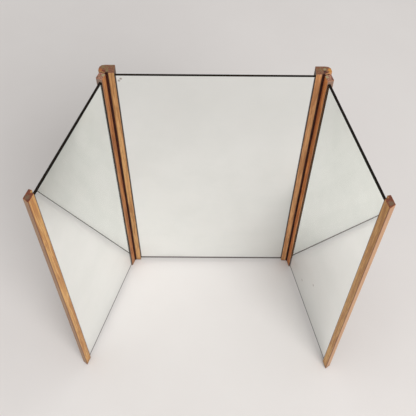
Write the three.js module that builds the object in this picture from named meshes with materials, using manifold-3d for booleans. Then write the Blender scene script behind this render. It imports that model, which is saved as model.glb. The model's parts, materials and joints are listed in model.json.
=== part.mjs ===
// A folding floor mirror: a centre panel and two wings, each a glass plate held between two
// wooden uprights, with a continuous hinge between each post of the centre panel and its wing.
// Millimetres, +Z up. The mirrors face -Y. The origin is on the floor, mid footprint.
//
// A wing is drawn in its own frame: the hinge axis is the origin, x runs along the wing and
// y through its thickness, front to back. `side` is 1 on the right and -1 on the left.

import * as THREE from 'three';
import { mergeVertices } from 'three/addons/utils/BufferGeometryUtils.js';
import Module from 'manifold-3d';

const wasm = await Module();
wasm.setup();

// ---------------------------------------------------------------------------
// Driving dimensions
// ---------------------------------------------------------------------------

// Heights
const uprightHeight = 721;
const padThickness = 2;
const glassTopInset = 8;
const glassFootInset = 9;

// Glass that shows between the uprights of each panel
const centreGlassShown = 400;
const wingGlassShown = 291;
const glassThickness = 3;
const boardThickness = 2.4;

// The stopped groove that holds glass and board
const frontLip = 1;
const grooveDepth = 6;
const fitGap = 0.3;

// Posts of the centre panel
const postWidth = 32;
const postDepth = 24;
const postFaceWidth = 12.9;
const postRound = 12;

// Rails of the wings
const railDepth = 14;
const hingeRailReach = 19.8;
const hingeRailRound = 3;
const freeRailWidth = 21.7;
const freeRailBevel = 5.8;
const freeRailBackLip = 5.9;
const edgeRound = 1.2;
const endChamfer = 0.5;

// Continuous hinge
const barrelRadius = 2;
const barrelClearance = 0.5;
const pinRadius = 0.9;
const leafThickness = 0.8;
const leafWidth = 13;
const leafGap = 0.3;
const knuckleCount = 24;
const hingeEndInset = 2;
const pivotProud = 0.5;

// Screws
const shankRadius = 1.2;
const screwTipLength = 2.4;
const hingeHeadRadius = 2.1;
const hingeHeadDepth = 0.6;
const hingeScrewLength = 8.5;
const hingeScrewsPerLeaf = 4;
const hingeScrewEndInset = 45;
const hingeScrewStagger = 14;
const battenHeadRadius = 2.4;
const battenHeadDepth = 1.4;
const battenScrewCover = 3.5;

// Battens behind the boards
const battenHeight = 36;
const battenFromEnd = 90;
const battenHousing = 13;

// Pads under the feet
const padInset = 1.2;
const padChamfer = 0.3;

// How far a wing is folded forward from straight open, in degrees
const openStopFold = 70;
const leftFold = 71.8;
const rightFold = 76.1;

// ---------------------------------------------------------------------------
// Sizes worked out from them
// ---------------------------------------------------------------------------

const footZ = padThickness + fitGap;
const topZ = footZ + uprightHeight;
const glassBottomZ = footZ + glassFootInset;
const glassTopZ = topZ - glassTopInset;

const glassFront = frontLip + fitGap;
const boardFront = glassFront + glassThickness + fitGap;
const grooveBack = boardFront + boardThickness + fitGap;
const battenFront = grooveBack + fitGap;

const coveRadius = barrelRadius + barrelClearance;
const boreRadius = pinRadius + fitGap;
const leafSeat = leafGap / 2 + leafThickness + fitGap;

const postInner = centreGlassShown / 2;
const postOuter = postInner + postWidth;
const pivotX = postInner + postFaceWidth + Math.sqrt(coveRadius ** 2 - pivotProud ** 2);

const freeRailInner = hingeRailReach + wingGlassShown;
const freeRailOuter = freeRailInner + freeRailWidth;

const hingeBottomZ = footZ + hingeEndInset;
const hingeTopZ = topZ - hingeEndInset;
const knucklePitch = (hingeTopZ - hingeBottomZ) / knuckleCount;

// ---------------------------------------------------------------------------
// Materials
// ---------------------------------------------------------------------------

const paints = {
  teak: { color: 0xbd8650, roughness: 0.5, metalness: 0 },
  mirror: { color: 0xdcdcd8, roughness: 0.04, metalness: 1 },
  hardboard: { color: 0x3a2c24, roughness: 0.8, metalness: 0 },
  battenWood: { color: 0xa8784a, roughness: 0.6, metalness: 0 },
  brownMetal: { color: 0x4a2a1c, roughness: 0.45, metalness: 0.7 },
  screwSteel: { color: 0x8f8778, roughness: 0.4, metalness: 1 },
  felt: { color: 0x33261e, roughness: 0.95, metalness: 0 },
};

// ---------------------------------------------------------------------------
// Solids
// ---------------------------------------------------------------------------

function toSolid(geometry) {
  const bare = geometry.clone();
  bare.deleteAttribute('normal');
  bare.deleteAttribute('uv');
  const merged = mergeVertices(bare, 1e-4);
  return new wasm.Manifold(new wasm.Mesh({
    numProp: 3,
    vertProperties: new Float32Array(merged.attributes.position.array),
    triVerts: new Uint32Array(merged.index.array),
  }));
}

function toGeometry(solid) {
  const { vertProperties, triVerts } = solid.getMesh();
  const geometry = new THREE.BufferGeometry();
  const positions = new Float32Array(vertProperties);
  geometry.setAttribute('position', new THREE.BufferAttribute(positions, 3));
  geometry.setIndex(new THREE.BufferAttribute(new Uint32Array(triVerts), 1));
  geometry.computeVertexNormals();
  return geometry;
}

function cut(geometry, tools) {
  const whole = toSolid(geometry);
  return toGeometry(tools.reduce((solid, tool) => solid.subtract(toSolid(tool)), whole));
}

function join(geometries) {
  return toGeometry(geometries.map(toSolid).reduce((whole, next) => whole.add(next)));
}

// A box between two corners; on the left side it is mirrored.
function block(side, [x0, x1], [y0, y1], [z0, z1]) {
  const geometry = new THREE.BoxGeometry(x1 - x0, y1 - y0, z1 - z0);
  return geometry.translate(side * (x0 + x1) / 2, (y0 + y1) / 2, (z0 + z1) / 2);
}

// An upright cylinder.
function rod(radius, [z0, z1], facets) {
  const geometry = new THREE.CylinderGeometry(radius, radius, z1 - z0, facets);
  return geometry.rotateX(Math.PI / 2).translate(0, 0, (z0 + z1) / 2);
}

// An outline through points [x, y, rounding], or with its corners left sharp.
function outline(side, points, sharp = false) {
  const corners = points.map(([x, y]) => new THREE.Vector2(side * x, y));
  const shape = new THREE.Shape();
  corners.forEach((corner, i) => {
    const before = corners.at(i - 1);
    const after = corners[(i + 1) % corners.length];
    const rounding = sharp ? 0 : points[i][2];
    const start = corner.clone().lerp(before, rounding / corner.distanceTo(before));
    const end = corner.clone().lerp(after, rounding / corner.distanceTo(after));
    if (i === 0) {
      shape.moveTo(start.x, start.y);
    } else {
      shape.lineTo(start.x, start.y);
    }
    if (rounding > 0) {
      shape.quadraticCurveTo(corner.x, corner.y, end.x, end.y);
    }
  });
  return shape;
}

// An upright prism over an outline drawn in by `inset`, its end edges cut by `chamfer`.
function prism(shape, [z0, z1], chamfer, inset = 0) {
  const geometry = new THREE.ExtrudeGeometry(shape, {
    depth: z1 - z0 - 2 * chamfer,
    curveSegments: 3,
    bevelThickness: chamfer,
    bevelSize: chamfer,
    bevelOffset: -chamfer - inset,
    bevelSegments: 1,
  });
  return geometry.translate(0, 0, z0 + chamfer);
}

function middle([low, high]) {
  return (low + high) / 2;
}

function grown([low, high], by) {
  return [low - by, high + by];
}

// The two ends in rising order.
function span(a, b) {
  return [Math.min(a, b), Math.max(a, b)];
}

const uprightZ = [footZ, topZ];
const glassZ = [glassBottomZ, glassTopZ];
const hingeZ = [hingeBottomZ, hingeTopZ];

// ---------------------------------------------------------------------------
// Pieces
// ---------------------------------------------------------------------------

function addPiece(parent, name, paint, geometry) {
  const material = new THREE.MeshStandardMaterial(paints[paint]);
  const mesh = new THREE.Mesh(toGeometry(toSolid(geometry)), material);
  mesh.name = name;
  parent.add(mesh);
}

// A countersunk screw pointing down, the top of its head at the origin.
// With `extra` it is the hole for that screw.
function screw(headRadius, headDepth, length, extra) {
  const rim = extra > 0 ? [[headRadius + extra, extra]] : [];
  const profile = [
    [0, -length - extra],
    [shankRadius + extra, screwTipLength - length],
    [shankRadius + extra, -headDepth],
    [headRadius + extra, 0],
    ...rim,
    [0, extra],
  ];
  const points = profile.map(([x, y]) => new THREE.Vector2(x, y));
  return new THREE.LatheGeometry(points, 10).rotateX(Math.PI / 2);
}

// ---------------------------------------------------------------------------
// Grooves, boards and battens, the same in every panel
// ---------------------------------------------------------------------------

// The groove, from the edge of the shown glass into the wood in direction `into`.
function grooveCut(side, edge, into, front) {
  const xs = span(edge - into * grooveDepth, edge + into * grooveDepth);
  return block(side, xs, [front + frontLip, front + grooveBack], grown(glassZ, fitGap));
}

const battens = [
  { place: 'lower', z: [footZ + battenFromEnd, footZ + battenFromEnd + battenHeight] },
  { place: 'upper', z: [topZ - battenFromEnd - battenHeight, topZ - battenFromEnd] },
];

// A batten screw goes in from behind, past the groove, and stops short of the front face.
const battenScrewIn = (grooveDepth + battenHousing) / 2;

function battenScrew(side, edge, into, front, depth, z, extra = 0) {
  const length = depth - fitGap - battenScrewCover;
  const geometry = screw(battenHeadRadius, battenHeadDepth, length, extra);
  const x = side * (edge + into * battenScrewIn);
  return geometry.rotateX(-Math.PI / 2).translate(x, front + depth - fitGap, z);
}

// The housings that the battens lie in, and the holes for their screws.
function battenCuts(side, edge, into, front, depth) {
  const xs = span(edge - into * battenHousing, edge + into * battenHousing);
  const ys = [front + grooveBack, front + depth + fitGap];
  return battens.flatMap(({ z }) => [
    block(side, xs, ys, grown(z, fitGap)),
    battenScrew(side, edge, into, front, depth, middle(z), fitGap),
  ]);
}

// Glass, board and battens between two uprights, whose inner edges stand at x = low and high.
function addInfill(parent, panel, side, [low, high], front, depth, ends) {
  const held = grown([low, high], grooveDepth - fitGap);
  const glassY = [front + glassFront, front + glassFront + glassThickness];
  const boardY = [front + boardFront, front + boardFront + boardThickness];
  addPiece(parent, `${panel}_glass`, 'mirror', block(side, held, glassY, glassZ));
  addPiece(parent, `${panel}_board`, 'hardboard', block(side, held, boardY, glassZ));

  const housed = grown([low, high], battenHousing - fitGap);
  const battenY = [front + battenFront, front + depth - fitGap];
  const edges = [[low, -1], [high, 1]];
  battens.forEach(({ place, z }) => {
    const name = `${panel}_${place}_batten`;
    const holes = edges.map(([edge, into]) => (
      battenScrew(side, edge, into, front, depth, middle(z), fitGap)
    ));
    addPiece(parent, name, 'battenWood', cut(block(side, housed, battenY, z), holes));
    edges.forEach(([edge, into], i) => {
      const geometry = battenScrew(side, edge, into, front, depth, middle(z));
      addPiece(parent, `${name}_screw_${ends[i]}`, 'screwSteel', geometry);
    });
  });
}

// An upright and the pad under it, which has the shape of its foot, drawn in all round.
function addUpright(parent, name, side, points, tools) {
  const body = prism(outline(side, points), uprightZ, endChamfer);
  addPiece(parent, name, 'teak', cut(body, tools));
  const foot = outline(side, points, true);
  const pad = prism(foot, [0, padThickness], padChamfer, padInset);
  addPiece(parent, `${name}_pad`, 'felt', pad);
}

// ---------------------------------------------------------------------------
// Continuous hinge, in the wing's frame
// ---------------------------------------------------------------------------

// The knuckles of one leaf are every second one, starting with the lowest or the next.
function knuckleSpans(first) {
  const lows = [];
  for (let i = first; i < knuckleCount; i += 2) {
    lows.push(hingeBottomZ + i * knucklePitch);
  }
  return lows.map((low) => [low + fitGap / 2, low + knucklePitch - fitGap / 2]);
}

function hingeScrewHeights(shift) {
  const [first, last] = grown(hingeZ, -hingeScrewEndInset);
  const step = (last - first) / (hingeScrewsPerLeaf - 1);
  return Array.from({ length: hingeScrewsPerLeaf }, (_, i) => first + shift + step * i);
}

// A hinge screw stands square to the leaf, halfway between barrel and edge.
function hingeScrew(side, z, extra = 0) {
  const geometry = screw(hingeHeadRadius, hingeHeadDepth, hingeScrewLength, extra);
  const out = (barrelRadius + leafWidth) / 2;
  return geometry.rotateY(-side * Math.PI / 2).translate(side * leafGap / 2, out, z);
}

function hingeLeaf(side, firstKnuckle, screwHeights) {
  const plateX = [leafGap / 2, leafGap / 2 + leafThickness];
  const plateFront = barrelRadius + fitGap;
  const plate = block(side, plateX, [plateFront, leafWidth], hingeZ);
  const knuckles = knuckleSpans(firstKnuckle).flatMap((z) => [
    rod(barrelRadius, z, 12),
    block(side, plateX, [boreRadius, plateFront + leafThickness], z),
  ]);
  const bore = rod(boreRadius, grown(hingeZ, fitGap), 8);
  const holes = screwHeights.map((z) => hingeScrew(side, z, fitGap));
  return cut(join([plate, ...knuckles]), [bore, ...holes]);
}

function addHingeHalf(parent, name, side, firstKnuckle, screwHeights) {
  addPiece(parent, name, 'brownMetal', hingeLeaf(side, firstKnuckle, screwHeights));
  screwHeights.forEach((z, i) => {
    addPiece(parent, `${name}_screw_${i + 1}`, 'brownMetal', hingeScrew(side, z));
  });
}

const wingScrewHeights = hingeScrewHeights(0);
const postScrewHeights = hingeScrewHeights(hingeScrewStagger);
const cove = rod(coveRadius, grown(uprightZ, fitGap), 16);

// ---------------------------------------------------------------------------
// Centre panel
// ---------------------------------------------------------------------------

// The outer front of the post is cut off along the face that its hinge leaf lies on.
const stop = THREE.MathUtils.degToRad(openStopFold);
const seatX = pivotX - leafSeat * Math.cos(stop);
const seatY = leafSeat * Math.sin(stop) - pivotProud;

function seatPoint(along) {
  return [seatX + along * Math.sin(stop), seatY + along * Math.cos(stop)];
}

const [seatStartX] = seatPoint(-seatY / Math.cos(stop));
const [, seatEndY] = seatPoint((postOuter - seatX) / Math.sin(stop));

const postPoints = [
  [postInner, 0, edgeRound],
  [seatStartX, 0, 0],
  [postOuter, seatEndY, edgeRound],
  [postOuter, postDepth, postRound],
  [postInner, postDepth, edgeRound],
];

// Places geometry of the post's hinge half in the frame of the centre panel.
function atPost(side, geometry) {
  return geometry.rotateZ(-side * stop).translate(side * pivotX, -pivotProud, 0);
}

function addPost(parent, name, side) {
  addUpright(parent, `${name}_post`, side, postPoints, [
    atPost(side, cove.clone()),
    grooveCut(side, postInner, 1, 0),
    ...battenCuts(side, postInner, 1, 0, postDepth),
    ...postScrewHeights.map((z) => atPost(side, hingeScrew(-side, z, fitGap))),
  ]);

  const hingeHalf = new THREE.Group();
  hingeHalf.position.set(side * pivotX, -pivotProud, 0);
  hingeHalf.rotation.z = -side * stop;
  parent.add(hingeHalf);
  addHingeHalf(hingeHalf, `${name}_post_leaf`, -side, 0, postScrewHeights);
  addPiece(hingeHalf, `${name}_hinge_pin`, 'brownMetal', rod(pinRadius, hingeZ, 8));
}

function makeCentre() {
  const panel = new THREE.Group();
  const opening = [-postInner, postInner];
  addInfill(panel, 'centre', 1, opening, 0, postDepth, ['left', 'right']);
  addPost(panel, 'left', -1);
  addPost(panel, 'right', 1);
  return panel;
}

// ---------------------------------------------------------------------------
// Wings
// ---------------------------------------------------------------------------

const wingFront = pivotProud;
const wingBack = wingFront + railDepth;

const hingeRailPoints = [
  [leafSeat, wingFront, 0],
  [hingeRailReach, wingFront, edgeRound],
  [hingeRailReach, wingBack, hingeRailRound],
  [leafSeat, wingBack, edgeRound],
];

// The free rail reaches further in behind the board and narrows towards its back.
const freeRailPoints = [
  [freeRailInner, wingFront, edgeRound],
  [freeRailOuter, wingFront, edgeRound],
  [freeRailOuter - freeRailBevel, wingBack, edgeRound],
  [freeRailInner - freeRailBackLip, wingBack, edgeRound],
  [freeRailInner - freeRailBackLip, wingFront + grooveBack, 0],
  [freeRailInner, wingFront + grooveBack, 0],
];

function makeWing(name, side, fold) {
  const wing = new THREE.Group();
  wing.position.set(side * pivotX, -pivotProud, 0);
  wing.rotation.z = -side * THREE.MathUtils.degToRad(fold);

  addUpright(wing, `${name}_hinge_rail`, side, hingeRailPoints, [
    cove,
    grooveCut(side, hingeRailReach, -1, wingFront),
    ...battenCuts(side, hingeRailReach, -1, wingFront, railDepth),
    ...wingScrewHeights.map((z) => hingeScrew(side, z, fitGap)),
  ]);
  addUpright(wing, `${name}_free_rail`, side, freeRailPoints, [
    grooveCut(side, freeRailInner, 1, wingFront),
    ...battenCuts(side, freeRailInner, 1, wingFront, railDepth),
  ]);
  const opening = [hingeRailReach, freeRailInner];
  addInfill(wing, name, side, opening, wingFront, railDepth, ['inner', 'outer']);
  addHingeHalf(wing, `${name}_wing_leaf`, side, 1, wingScrewHeights);
  return wing;
}

// ---------------------------------------------------------------------------
// The whole mirror
// ---------------------------------------------------------------------------

const mirror = new THREE.Group();
mirror.add(makeCentre(), makeWing('left', -1, leftFold), makeWing('right', 1, rightFold));
mirror.updateMatrixWorld(true);
const footprint = new THREE.Box3().setFromObject(mirror, true).getCenter(new THREE.Vector3());
mirror.position.set(-footprint.x, -footprint.y, 0);

const floorMirror = new THREE.Group();
floorMirror.add(mirror);

export default floorMirror;
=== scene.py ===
# A three panel folding floor mirror with teak uprights, dressed for a photograph from above.

import json
from math import cos, radians, sin

import bpy
from mathutils import Matrix, Vector


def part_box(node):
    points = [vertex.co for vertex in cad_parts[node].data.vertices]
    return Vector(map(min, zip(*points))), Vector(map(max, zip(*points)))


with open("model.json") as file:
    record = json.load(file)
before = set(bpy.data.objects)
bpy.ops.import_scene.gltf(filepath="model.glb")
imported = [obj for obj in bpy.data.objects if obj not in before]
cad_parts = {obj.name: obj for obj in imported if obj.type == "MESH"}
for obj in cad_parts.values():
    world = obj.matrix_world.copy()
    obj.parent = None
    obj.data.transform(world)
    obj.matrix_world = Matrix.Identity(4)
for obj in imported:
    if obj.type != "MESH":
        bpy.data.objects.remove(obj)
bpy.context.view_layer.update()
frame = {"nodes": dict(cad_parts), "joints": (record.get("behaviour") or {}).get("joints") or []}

# ---------------------------------------------------------------------------
# Places, in metres in the row frame
# ---------------------------------------------------------------------------

LEFT_FOLD = radians(71.8)
RIGHT_FOLD = radians(76.1)

left_post_low, left_post_high = (Vector(corner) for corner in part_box("left_post"))
right_post_high = Vector(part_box("right_post")[1])

# The middle of the centre panel's front, on the floor.
MIDDLE = Vector(((left_post_low.x + right_post_high.x) / 2, left_post_low.y, 0))
TOP = left_post_high.z
FOOT = left_post_low.z
HINGE = {joint["child"]: Vector(joint["pos_m"]) for joint in frame["joints"]}
HINGE_X = (HINGE["right_wing"] - HINGE["left_wing"]).length / 2

UP = Vector((0, 0, 1))
SIDES = {"left": -1, "right": 1}

# Each panel's origin, the way along it and the way to its back, in the rest pose.
PANELS = {
    "centre": (MIDDLE, Vector((1, 0, 0)), Vector((0, 1, 0))),
    "left": (
        HINGE["left_wing"],
        Vector((-cos(LEFT_FOLD), -sin(LEFT_FOLD), 0)),
        Vector((-sin(LEFT_FOLD), cos(LEFT_FOLD), 0)),
    ),
    "right": (
        HINGE["right_wing"],
        Vector((cos(RIGHT_FOLD), -sin(RIGHT_FOLD), 0)),
        Vector((sin(RIGHT_FOLD), cos(RIGHT_FOLD), 0)),
    ),
}

# How far along their panel the glass meets the wood, and where a free rail ends.
CENTRE_EDGE = 0.2
WING_INNER = 0.0198
WING_OUTER = 0.3108
FREE_CORNER = 0.3325


def colour(red, green, blue):
    """A colour written in display values from 0 to 255."""
    def channel(value):
        value /= 255
        return value / 12.92 if value <= 0.04045 else ((value + 0.055) / 1.055) ** 2.4
    return channel(red), channel(green), channel(blue), 1


def scaled(tone, share):
    """A colour made darker by a share below 1, or lighter by one above it."""
    return tuple(channel * share for channel in tone[:3]) + (1,)


# ---------------------------------------------------------------------------
# Node trees
# ---------------------------------------------------------------------------

# A spot starts and is full at these shares of its radius.
SPOT_RIM = 1.3
SPOT_HEART = 0.5


class Nodes:
    """Builds a material's node tree. Inputs are numbers, tuples or other nodes' sockets."""

    def __init__(self, name):
        self.material = bpy.data.materials.new(name)
        self.material.use_nodes = True
        self.tree = self.material.node_tree
        self.tree.nodes.clear()
        self.shader = self.add("ShaderNodeBsdfPrincipled")
        output = self.add("ShaderNodeOutputMaterial")
        self.tree.links.new(self.shader.outputs[0], output.inputs["Surface"])
        self.place = self.add("ShaderNodeTexCoord")

    def add(self, kind, **settings):
        node = self.tree.nodes.new(kind)
        for key, value in settings.items():
            setattr(node, key, value)
        return node

    def feed(self, socket, value):
        if isinstance(value, bpy.types.NodeSocket):
            self.tree.links.new(value, socket)
        else:
            socket.default_value = value

    def set(self, name, value):
        self.feed(self.shader.inputs[name], value)

    def math(self, operation, a, b=0.0):
        node = self.add("ShaderNodeMath", operation=operation)
        self.feed(node.inputs[0], a)
        self.feed(node.inputs[1], b)
        return node.outputs[0]

    def times(self, *factors):
        product = factors[0]
        for factor in factors[1:]:
            product = self.math("MULTIPLY", product, factor)
        return product

    def vector(self, operation, a, b):
        node = self.add("ShaderNodeVectorMath", operation=operation)
        self.feed(node.inputs[0], a)
        self.feed(node.inputs[1], b)
        return node.outputs["Value" if operation in {"DOT_PRODUCT", "DISTANCE"} else "Vector"]

    def combine(self, x, y, z):
        node = self.add("ShaderNodeCombineXYZ")
        for socket, value in zip(node.inputs, (x, y, z)):
            self.feed(socket, value)
        return node.outputs[0]

    def split(self, vector):
        node = self.add("ShaderNodeSeparateXYZ")
        self.feed(node.inputs[0], vector)
        return node.outputs[0], node.outputs[1], node.outputs[2]

    def step(self, value, start, end):
        """0 up to start and 1 past end, smooth between; end may be the smaller one."""
        node = self.add("ShaderNodeMapRange", interpolation_type="SMOOTHSTEP", clamp=True)
        self.feed(node.inputs["Value"], value)
        node.inputs["From Min"].default_value = min(start, end)
        node.inputs["From Max"].default_value = max(start, end)
        node.inputs["To Min"].default_value = float(start > end)
        node.inputs["To Max"].default_value = float(start <= end)
        return node.outputs["Result"]

    def scale(self, value, low, high):
        """Maps 0..1 to low..high."""
        return self.math("ADD", self.math("MULTIPLY", value, high - low), low)

    def mix(self, factor, a, b):
        node = self.add("ShaderNodeMix", data_type="RGBA")
        self.feed(node.inputs[0], factor)
        self.feed(node.inputs[6], a)
        self.feed(node.inputs[7], b)
        return node.outputs[2]

    def cover(self, base, mask, strength, over):
        """Lays a colour over base where mask is 1, at a strength from 0 to 1."""
        return self.mix(self.times(mask, strength), base, over)

    def noise(self, vector, scale, detail=3, roughness=0.55, distortion=0):
        node = self.add("ShaderNodeTexNoise")
        self.feed(node.inputs["Vector"], vector)
        node.inputs["Scale"].default_value = scale
        node.inputs["Detail"].default_value = detail
        node.inputs["Roughness"].default_value = roughness
        node.inputs["Distortion"].default_value = distortion
        return node.outputs["Fac"]

    def drawn_out(self, vector, share):
        """Shortens the third direction to a share of itself, which draws noise out along it."""
        return self.vector("MULTIPLY", vector, (1, 1, share))

    def bump(self, height, distance, strength):
        node = self.add("ShaderNodeBump")
        node.inputs["Strength"].default_value = strength
        node.inputs["Distance"].default_value = distance
        self.feed(node.inputs["Height"], height)
        self.set("Normal", node.outputs[0])

    def in_panel(self, panel):
        """The place on the surface as (along, through, up) in a panel."""
        origin, along, back = PANELS[panel]
        offset = self.vector("SUBTRACT", self.place.outputs["Object"], tuple(origin))
        directions = (tuple(direction) for direction in (along, back, UP))
        return self.combine(
            *(self.vector("DOT_PRODUCT", offset, direction) for direction in directions))

    def facing(self, direction):
        """How far the surface faces a direction of the rest pose, from -1 to 1."""
        return self.vector("DOT_PRODUCT", self.place.outputs["Normal"], tuple(direction))

    def spots(self, base, place, marks, wobble=0.0):
        """Blots over base; each is (place in the panel, radius, colour, strength)."""
        for spot, radius, stain, strength in marks:
            away = self.math("ADD", self.vector("DISTANCE", place, spot), wobble)
            mask = self.step(away, radius * SPOT_RIM, radius * SPOT_HEART)
            base = self.cover(base, mask, strength, stain)
        return base


# ---------------------------------------------------------------------------
# Wood
# ---------------------------------------------------------------------------

# A seed moves the grain this much in the noise.
SEED_SHIFT = (0.37, 0.21, 0.83)

# Shares for Nodes.drawn_out.
STREAK_DRAW = 0.05
PORE_DRAW = 0.02
PATCH_DRAW = 0.25

# How much a face looks a given way (see Nodes.facing) where its painted light and shade start
# and are full.
SHADED_FACE = (0.55, 0.85)
END_FACE = (0.6, 0.9)

# How far the rim of a stain on the end grain wanders, in metres.
STAIN_WANDER = 0.008

# The share of its radius within which a line has its full strength.
LINE_CORE = 0.6

# How far above the foot the darkening starts and is full, in metres.
FOOT_DARK_START = 0.016
FOOT_DARK_FULL = 0.001
FOOT_DARK_STRENGTH = 0.45


def wood(name, panel, light, dark, seed, end, along_up=True, marks=(), face_shading=(), lines=()):
    """Straight-grained open-pored wood with end grain of its own colours.

    light and dark colour the streaks. end is (dark specks, light specks, clouds).
    along_up is True where the grain runs upright, and False where it runs along the panel.
    marks stain the end grain, as in Nodes.spots.
    The face tones paint light and shade on the faces that look a given way: (direction, colour,
    strength).
    lines darken the wood round upright lines (painted shade in the hinge joints and beside the
    glass, and a darker free rail corner): (along, through, radius, colour, strength).
    """
    n = Nodes(name)
    place = n.in_panel(panel)
    along, through, up = n.split(place)
    grain_axis = UP if along_up else PANELS[panel][1]
    lie = place if along_up else n.combine(up, through, along)
    shifted = n.vector("ADD", lie, tuple(seed * shift for shift in SEED_SHIFT))
    streaked = n.drawn_out(shifted, STREAK_DRAW)

    figure = n.noise(streaked, scale=150, detail=4, roughness=0.62, distortion=1.2)
    fibre = n.noise(streaked, scale=620, detail=4, roughness=0.7)
    pores = n.noise(n.drawn_out(shifted, PORE_DRAW), scale=1900, detail=2, roughness=0.6)
    patches = n.noise(n.drawn_out(shifted, PATCH_DRAW), scale=22)

    tone = n.mix(n.step(figure, 0.41, 0.59), dark, light)
    tone = n.cover(tone, n.step(fibre, 0.52, 0.34), 0.6, scaled(dark, 0.6))
    tone = n.cover(tone, n.step(pores, 0.58, 0.7), 0.45, scaled(dark, 0.35))
    tone = n.cover(tone, n.step(patches, 0.52, 0.72), 0.35, scaled(light, 1.18))
    tone = n.cover(tone, n.step(patches, 0.46, 0.3), 0.3, scaled(dark, 0.8))
    # Painted light and shade on the faces that look a given way.
    for direction, shading_tone, strength in face_shading:
        tone = n.cover(tone, n.step(n.facing(direction), *SHADED_FACE), strength, shading_tone)

    end_dark, end_light, end_cloud = end
    speck = n.noise(shifted, scale=420, detail=4, roughness=0.7)
    cloud = n.noise(shifted, scale=150, roughness=0.6)
    end_tone = n.mix(n.step(speck, 0.38, 0.62), end_dark, end_light)
    end_tone = n.mix(n.step(cloud, 0.56, 0.68), end_tone, end_cloud)
    wobble = n.times(n.math("SUBTRACT", cloud, 0.5), STAIN_WANDER)
    end_tone = n.spots(end_tone, place, marks, wobble)
    at_end = n.step(n.math("ABSOLUTE", n.facing(grain_axis)), *END_FACE)
    tone = n.mix(at_end, tone, end_tone)

    # Dark lines: painted shade in the hinge joints and beside the glass, and a darker outer
    # corner on the free rails.
    for line_along, line_through, radius, line_tone, strength in lines:
        away = n.vector("DISTANCE", n.combine(along, through, 0), (line_along, line_through, 0))
        tone = n.cover(tone, n.step(away, radius, radius * LINE_CORE), strength, line_tone)
    # Upright wood is darker towards its foot.
    if along_up:
        darker_foot = n.step(up, FOOT + FOOT_DARK_START, FOOT + FOOT_DARK_FULL)
        tone = n.cover(tone, darker_foot, FOOT_DARK_STRENGTH, scaled(dark, 0.4))

    n.set("Base Color", tone)
    n.set("Specular IOR Level", 0.35)
    n.set("Roughness", n.scale(n.step(fibre, 0.3, 0.7), 0.62, 0.44))
    relief = n.math("SUBTRACT", fibre, n.times(n.step(pores, 0.56, 0.7), 0.8))
    n.bump(relief, distance=0.00025, strength=0.6)
    return n.material


# End grain, as (dark specks, light specks, clouds).
END_BROWN = (colour(104, 62, 44), colour(146, 98, 70), colour(126, 108, 72))
END_PINK = (colour(120, 76, 60), colour(184, 134, 112), colour(150, 116, 88))
END_RED = (colour(88, 42, 28), colour(134, 74, 50), colour(116, 66, 42))
END_PLAIN = (colour(120, 82, 54), colour(156, 114, 78), colour(134, 102, 68))

# Streaks, as (light, dark).
# Painted light: the right post's streaks are lighter than the left's, against the shade that
# falls on it.
POST_TONES = {
    "left": (colour(204, 156, 100), colour(164, 114, 66)),
    "right": (colour(222, 166, 110), colour(184, 126, 78)),
}
# Painted shade and light: the hinge rails are darker than the posts, as shade where they face
# each other, and the right ones are lighter than the left, against the shade that falls on them.
HINGE_RAIL_TONES = {
    "left": (colour(192, 130, 76), colour(148, 86, 46)),
    "right": (colour(220, 142, 74), colour(178, 100, 46)),
}
FREE_RAIL_TONES = (colour(216, 168, 104), colour(182, 124, 68))
BATTEN_TONES = (colour(196, 158, 116), colour(158, 116, 76))

# Stains, and tints that paint light and shade on faces and edges.
RED_STAIN = colour(104, 30, 22)
DARK_STAIN = colour(52, 22, 18)
MOSS = colour(122, 116, 76)
PALE_MOSS = colour(160, 158, 116)
FREE_HEART = colour(112, 94, 72)
GOLD = colour(206, 142, 66)
ORANGE = colour(166, 100, 50)
PAINTED_SHADE_GREY = colour(128, 112, 102)
PAINTED_SHADE_BROWN = colour(70, 46, 34)
SHADED_SIDE_TAN = colour(148, 117, 96)
LIT_SIDE_TAN = colour(184, 142, 112)
EDGE_LINE_BROWN = colour(104, 62, 44)

# Painted shade: the dark line in the joint between post and hinge rail, round the hinge's axis,
# where the slit between them lies in shadow.
JOINT_SHADE = colour(44, 5, 2)
JOINT_SHADE_RADIUS = 0.0046
JOINT_SHADE_STRENGTH = 0.92

# Marks are rows of (place in the panel, radius, colour, strength).
POST_MARKS = {
    "left": (
        ((-0.2290, 0.0080, TOP), 0.0050, ORANGE, 0.80),
        ((-0.2230, 0.0170, TOP), 0.0036, MOSS, 0.50),
        ((-0.2154, 0.0070, TOP), 0.0034, MOSS, 0.70),
        ((-0.2205, 0.0060, TOP), 0.0036, RED_STAIN, 0.85),
        ((-0.2198, 0.0020, TOP), 0.0026, DARK_STAIN, 0.70),
    ),
    "right": (
        ((0.2300, 0.0130, TOP), 0.0060, GOLD, 0.85),
        ((0.2285, 0.0045, TOP), 0.0045, GOLD, 0.85),
        ((0.2092, 0.0156, TOP), 0.0036, MOSS, 0.50),
        ((0.2186, 0.0155, TOP), 0.0036, PALE_MOSS, 0.60),
        ((0.2185, 0.0083, TOP), 0.0034, DARK_STAIN, 0.85),
        ((0.2210, 0.0055, TOP), 0.0026, RED_STAIN, 0.70),
    ),
}
HINGE_RAIL_MARKS = (
    ((0.0070, 0.0040, TOP), 0.0034, PALE_MOSS, 0.80),
    ((0.0150, 0.0125, TOP), 0.0034, DARK_STAIN, 0.50),
)
FREE_RAIL_MARKS = (
    ((0.3222, 0.0080, TOP), 0.0052, FREE_HEART, 0.80),
)

# Dark lines on the free rails, as lines for wood: a darker outer front corner, and painted shade
# where the rail meets the glass.
FREE_RAIL_LINES = (
    (FREE_CORNER, 0, 0.0026, EDGE_LINE_BROWN, 0.7),
    (WING_OUTER, 0, 0.0020, EDGE_LINE_BROWN, 0.5),
)


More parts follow.
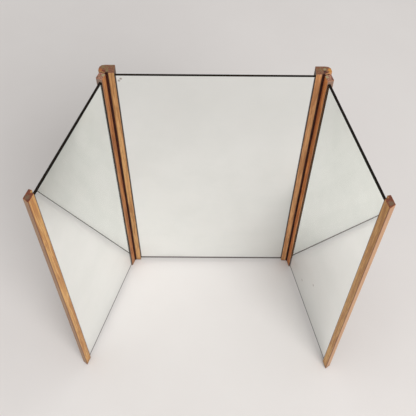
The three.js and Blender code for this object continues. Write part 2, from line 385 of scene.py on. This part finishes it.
def post(side, seed):
    """A post of the centre panel, with painted shade on the side that meets the glass and in the
    hinge joint.
    """
    inner = Vector((-SIDES[side], 0, 0))
    return wood(
        f"teak_{side}_post", "centre", *POST_TONES[side], seed, END_BROWN,
        marks=POST_MARKS[side],
        # Painted shade on the side that faces the glass.
        face_shading=((inner, PAINTED_SHADE_BROWN, 0.9),),
        lines=((SIDES[side] * HINGE_X, 0, JOINT_SHADE_RADIUS, JOINT_SHADE, JOINT_SHADE_STRENGTH),),
    )


def hinge_rail(panel, seed):
    """The wood strip of a wing at its hinge, with painted shade: greyish on the back and on the
    face towards the glass, and dark in the hinge joint.
    """
    along, back = PANELS[panel][1:]
    return wood(
        f"teak_{panel}_hinge_rail", panel, *HINGE_RAIL_TONES[panel], seed, END_PINK,
        marks=HINGE_RAIL_MARKS,
        # Painted shade on the back face and on the face towards the glass.
        face_shading=((back, PAINTED_SHADE_GREY, 0.85), (along, PAINTED_SHADE_GREY, 0.85)),
        lines=((0, 0, JOINT_SHADE_RADIUS, JOINT_SHADE, JOINT_SHADE_STRENGTH),),
    )


def free_rail(panel, seed, outer_side_shading):
    """The wood strip at a wing's outer end, with a tone painted on its outer side as light and
    shade (shaded on the left wing, lit on the right) and painted shade on its back.
    """
    along, back = PANELS[panel][1:]
    return wood(
        f"teak_{panel}_free_rail", panel, *FREE_RAIL_TONES, seed, END_RED,
        marks=FREE_RAIL_MARKS,
        # Painted light and shade on the outer side, painted shade on the back.
        face_shading=((along, outer_side_shading, 0.78), (back, PAINTED_SHADE_GREY, 0.5)),
        lines=FREE_RAIL_LINES,
    )


# ---------------------------------------------------------------------------
# Glass and boards
# ---------------------------------------------------------------------------

INK = (0.004, 0.0035, 0.003, 1)
INK_WORN = (0.014, 0.011, 0.009, 1)
MAUVE_SHADE_LINE = colour(62, 44, 42)
BLACK_SHADE_LINE = colour(28, 24, 18)
BRIGHT_SILVER = (0.925, 0.945, 0.928, 1)
HAZY_SILVER = (0.890, 0.915, 0.895, 1)
DIMMED_SILVER = (0.74, 0.755, 0.737, 1)
FOX = colour(112, 84, 62)
BACK_PAINT = colour(104, 80, 68)
BOARD_DARK = colour(96, 70, 50)
BOARD_LIGHT = colour(134, 102, 74)
BOARD_PRINT = colour(64, 45, 32)

# How much a face looks to the front or back where that side's look starts and is full.
PLATE_FACE = (0.5, 0.9)

# Painted shade in the reflection: the heights between which the centre glass darkens, in metres,
# and how strongly it is dimmed.
DIMMING_HEIGHTS = (0.4, 0.7)
CENTRE_DIMMING = 0.55

# Painted shade along the glass's foot: how far above it the dark line starts and is full, in
# metres.
FOOT_SHADE_START = 0.0080
FOOT_SHADE_FULL = 0.0060
FOOT_SHADE_STRENGTH = 0.85

# The painted shade lines along the wood start and are full at these shares of their width.
SIDE_LINE_START = 1.25
SIDE_LINE_FULL = 0.8
SIDE_LINE_STRENGTH = 0.94

EDGE_ROUGHNESS = 0.5

# Dark lines on the glass along the wood, painted shade of the groove and its reflection over the
# glass's own dark edge: rows of (edge along the panel, width, way into the glass, colour).
WING_SHADE_LINES = (
    (WING_INNER, 0.0072, 1, BLACK_SHADE_LINE),
    (WING_OUTER, 0.0020, -1, MAUVE_SHADE_LINE),
)
CENTRE_SHADE_LINES = (
    (-CENTRE_EDGE, 0.0026, 1, MAUVE_SHADE_LINE),
    (CENTRE_EDGE, 0.0026, -1, MAUVE_SHADE_LINE),
)

CENTRE_GLASS_MARKS = (
    ((-0.1885, 0.0013, 0.7071), 0.0028, FOX, 0.60),
    ((-0.1928, 0.0013, 0.7019), 0.0030, FOX, 0.50),
)
RIGHT_GLASS_MARKS = (
    ((0.1076, 0.0018, 0.0767), 0.0034, FOX, 0.60),
    ((0.1672, 0.0018, 0.1547), 0.0034, FOX, 0.65),
)


def mirror_glass(panel, lines, marks=(), dimming=0.0):
    """Silvered plate: bright front, black ground edges, painted back.

    lines are dark lines along the wood: painted shade of the grooves and its reflection, over
    the glass's own dark edge; marks are brown specks in the silver.
    dimming is how strongly the upper part is dimmed, as painted shade in the reflection.
    """
    n = Nodes(f"mirror_{panel}")
    place = n.in_panel(panel)
    along, _, up = n.split(place)
    glass_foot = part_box(f"{panel}_glass")[0][2]

    haze = n.noise(place, scale=9, detail=4, roughness=0.6)
    specks = n.noise(place, scale=210, roughness=0.7)
    foxing = n.times(n.step(specks, 0.7, 0.8), n.step(haze, 0.48, 0.62))
    silver = n.mix(n.step(haze, 0.35, 0.7), BRIGHT_SILVER, HAZY_SILVER)
    # Painted shade in the reflection: the upper part of the glass is dimmed.
    silver = n.cover(silver, n.step(up, *DIMMING_HEIGHTS), dimming, DIMMED_SILVER)
    silver = n.cover(silver, foxing, 0.4, FOX)
    silver = n.spots(silver, place, marks)
    # Painted shade along the wood, with its reflection in the glass.
    for edge, width, way, line_tone in lines:
        inside = n.times(n.math("SUBTRACT", along, edge), way)
        line = n.step(inside, width * SIDE_LINE_START, width * SIDE_LINE_FULL)
        silver = n.cover(silver, line, SIDE_LINE_STRENGTH, line_tone)
    # Painted shade: a dark line along the glass's foot.
    foot_shade_line = n.step(up, glass_foot + FOOT_SHADE_START, glass_foot + FOOT_SHADE_FULL)
    silver = n.cover(silver, foot_shade_line, FOOT_SHADE_STRENGTH, MAUVE_SHADE_LINE)

    back = PANELS[panel][2]
    front = n.step(n.facing(-back), *PLATE_FACE)
    behind = n.step(n.facing(back), *PLATE_FACE)
    tone = n.mix(n.noise(place, scale=500), INK, INK_WORN)
    tone = n.mix(front, tone, silver)
    tone = n.mix(behind, tone, BACK_PAINT)
    n.set("Base Color", tone)
    n.set("Metallic", front)
    n.set("Specular IOR Level", 0.08)
    shine = n.scale(n.step(haze, 0.3, 0.8), 0.008, 0.018)
    rough = n.math("SUBTRACT", EDGE_ROUGHNESS, n.times(front, EDGE_ROUGHNESS))
    n.set("Roughness", n.math("ADD", rough, shine))
    return n.material


def hardboard(panel):
    """Brown fibre board with blackened edges."""
    n = Nodes(f"hardboard_{panel}")
    place = n.in_panel(panel)
    mesh_print = n.noise(place, scale=900, detail=2, roughness=0.5)
    cloud = n.noise(place, scale=18, detail=4, roughness=0.6)
    face = n.mix(cloud, BOARD_DARK, BOARD_LIGHT)
    face = n.cover(face, n.step(mesh_print, 0.55, 0.4), 0.4, BOARD_PRINT)
    flat = n.step(n.math("ABSOLUTE", n.facing(PANELS[panel][2])), *PLATE_FACE)
    edge = n.mix(mesh_print, INK, INK_WORN)
    n.set("Base Color", n.mix(flat, edge, face))
    n.set("Specular IOR Level", 0.1)
    n.set("Roughness", n.scale(mesh_print, 0.7, 0.9))
    n.bump(mesh_print, distance=0.0003, strength=0.6)
    return n.material


# ---------------------------------------------------------------------------
# Metal and felt
# ---------------------------------------------------------------------------

PATINA_AND_SHADE_DARK = colour(38, 8, 5)
PATINA_WORN = colour(74, 26, 17)
PATINA_GRIT = colour(20, 8, 6)
PATINA_DRAW = 0.3
STEEL_BRIGHT = colour(158, 150, 136)
STEEL_DULL = colour(114, 96, 78)
STEEL_GRIT = colour(60, 45, 35)
FELT_DARK = colour(48, 36, 28)
FELT_LIGHT = colour(78, 58, 44)
FELT_FUZZ = colour(32, 24, 19)


def hinge_metal():
    """Dark red-brown patina, made darker still with painted shade from the slit it sits in, worn
    a little lighter in places.
    """
    n = Nodes("hinge_metal")
    place = n.place.outputs["Object"]
    cloud = n.noise(n.drawn_out(place, PATINA_DRAW), scale=160, detail=4, roughness=0.65)
    grit = n.noise(place, scale=1800, roughness=0.6)
    # Patina and painted shade: the darkest tone copies the slit in shadow.
    tone = n.mix(n.step(cloud, 0.35, 0.7), PATINA_AND_SHADE_DARK, PATINA_WORN)
    n.set("Base Color", n.cover(tone, n.step(grit, 0.6, 0.75), 0.5, PATINA_GRIT))
    n.set("Metallic", 0.3)
    n.set("Specular IOR Level", 0.2)
    n.set("Roughness", n.scale(grit, 0.45, 0.75))
    n.bump(grit, distance=0.0001, strength=0.5)
    return n.material


def screw_steel():
    """Steel gone dull, with grit in it."""
    n = Nodes("screw_steel")
    place = n.place.outputs["Object"]
    grit = n.noise(place, scale=1500, roughness=0.6)
    cloud = n.noise(place, scale=300, detail=2)
    tone = n.mix(n.step(cloud, 0.4, 0.65), STEEL_BRIGHT, STEEL_DULL)
    n.set("Base Color", n.cover(tone, grit, 0.3, STEEL_GRIT))
    n.set("Metallic", 0.9)
    n.set("Roughness", n.scale(grit, 0.3, 0.6))
    n.bump(grit, distance=0.0001, strength=0.4)
    return n.material


def felt():
    """Dark brown felt with a raised nap."""
    n = Nodes("felt")
    place = n.place.outputs["Object"]
    fuzz = n.noise(place, scale=2400, detail=4, roughness=0.7)
    cloud = n.noise(place, scale=120)
    tone = n.mix(cloud, FELT_DARK, FELT_LIGHT)
    n.set("Base Color", n.cover(tone, fuzz, 0.6, FELT_FUZZ))
    n.set("Roughness", n.scale(fuzz, 0.9, 1.0))
    n.set("Sheen Weight", 0.3)
    n.bump(fuzz, distance=0.0006, strength=0.8)
    return n.material


# ---------------------------------------------------------------------------
# A material for every node
# ---------------------------------------------------------------------------

BATTEN_SEEDS = {"lower": 11, "upper": 12}

looks = {
    "left_post": post("left", seed=4),
    "right_post": post("right", seed=2),
    "left_hinge_rail": hinge_rail("left", seed=6),
    "right_hinge_rail": hinge_rail("right", seed=5),
    # The left free rail's outer side gets painted shade, the right one's painted light.
    "left_free_rail": free_rail("left", seed=8, outer_side_shading=SHADED_SIDE_TAN),
    "right_free_rail": free_rail("right", seed=9, outer_side_shading=LIT_SIDE_TAN),
    "centre_glass": mirror_glass("centre", CENTRE_SHADE_LINES, CENTRE_GLASS_MARKS, CENTRE_DIMMING),
    "left_glass": mirror_glass("left", WING_SHADE_LINES),
    "right_glass": mirror_glass("right", WING_SHADE_LINES, RIGHT_GLASS_MARKS),
}
for panel in PANELS:
    looks[f"{panel}_board"] = hardboard(panel)
    for height, seed in BATTEN_SEEDS.items():
        looks[f"{panel}_{height}_batten"] = wood(
            f"batten_{panel}_{height}", panel, *BATTEN_TONES, seed, END_PLAIN, along_up=False)

metal = hinge_metal()
steel = screw_steel()
pad_felt = felt()


def look_of(node):
    if node in looks:
        return looks[node]
    if node.endswith("_pad"):
        return pad_felt
    if "batten_screw" in node:
        return steel
    return metal


for node, shape in frame["nodes"].items():
    shape.data.materials.clear()
    shape.data.materials.append(look_of(node))


# ---------------------------------------------------------------------------
# Floor
# ---------------------------------------------------------------------------

# From the middle to each side, in metres.
FLOOR_REACH = 60
FLOOR_DARK = colour(224, 219, 216)
FLOOR_LIGHT = colour(232, 228, 225)


def floor_material():
    n = Nodes("pale_floor")
    place = n.place.outputs["Object"]
    grain = n.noise(place, scale=40)
    cloud = n.noise(place, scale=2.5, roughness=0.6)
    n.set("Base Color", n.mix(cloud, FLOOR_DARK, FLOOR_LIGHT))
    n.set("Specular IOR Level", 0.2)
    n.set("Roughness", n.scale(grain, 0.8, 0.95))
    return n.material


corners = [(-FLOOR_REACH, -FLOOR_REACH, 0), (FLOOR_REACH, -FLOOR_REACH, 0),
           (FLOOR_REACH, FLOOR_REACH, 0), (-FLOOR_REACH, FLOOR_REACH, 0)]
sheet = bpy.data.meshes.new("floor")
sheet.from_pydata(corners, [], [(0, 1, 2, 3)])
floor = bpy.data.objects.new("floor", sheet)
bpy.context.scene.collection.objects.link(floor)
floor.data.materials.append(floor_material())


# ---------------------------------------------------------------------------
# Light: an even pale studio with one broad lamp, high at the front right
# ---------------------------------------------------------------------------

# Lengths are in metres, the power is in watts.
KEY_PLACE = Vector((1.8, -3.5, 3.9))
KEY_AIM = Vector((0, 0, 0.3))
KEY_SIZE = 3.4
KEY_POWER = 182
WHITE = (1, 1, 1, 1)
STUDIO_STRENGTH = 0.6

key_data = bpy.data.lights.new("key", "AREA")
key_data.shape = "DISK"
key_data.size = KEY_SIZE
key_data.energy = KEY_POWER
key = bpy.data.objects.new("key", key_data)
key.location = KEY_PLACE
key.rotation_euler = (KEY_AIM - KEY_PLACE).to_track_quat("-Z", "Y").to_euler()
bpy.context.scene.collection.objects.link(key)

world = bpy.data.worlds.new("studio")
world.use_nodes = True
background = world.node_tree.nodes["Background"]
background.inputs["Color"].default_value = WHITE
background.inputs["Strength"].default_value = STUDIO_STRENGTH
bpy.context.scene.world = world
bpy.context.scene.view_settings.view_transform = "Standard"


# ---------------------------------------------------------------------------
# Camera, held at eye height in front of the mirror
# ---------------------------------------------------------------------------

# The focal length is in the photograph's pixels and becomes millimetres on the sensor.
SENSOR = 36.0
VIEW_PIXELS = 416
FOCAL_PIXELS = 669.17

# The eye's place from MIDDLE. The camera turns right, looks down and lifts its right side.
EYE = Vector((-0.01892, -0.97559, 1.65478))
YAW = radians(0.48)
PITCH = radians(55.01)
ROLL = radians(0.78)

ahead = Vector((sin(YAW) * cos(PITCH), cos(YAW) * cos(PITCH), -sin(PITCH)))
level = Vector((cos(YAW), -sin(YAW), 0))
rise = level.cross(ahead)
across = level * cos(ROLL) + rise * sin(ROLL)
upward = rise * cos(ROLL) - level * sin(ROLL)

camera_data = bpy.data.cameras.new("camera")
camera_data.sensor_width = SENSOR
camera_data.lens = SENSOR * FOCAL_PIXELS / VIEW_PIXELS
camera = bpy.data.objects.new("camera", camera_data)
turn = Matrix((across, upward, -ahead)).transposed().to_4x4()
camera.matrix_world = Matrix.Translation(MIDDLE + EYE) @ turn
bpy.context.scene.collection.objects.link(camera)
bpy.context.scene.camera = camera
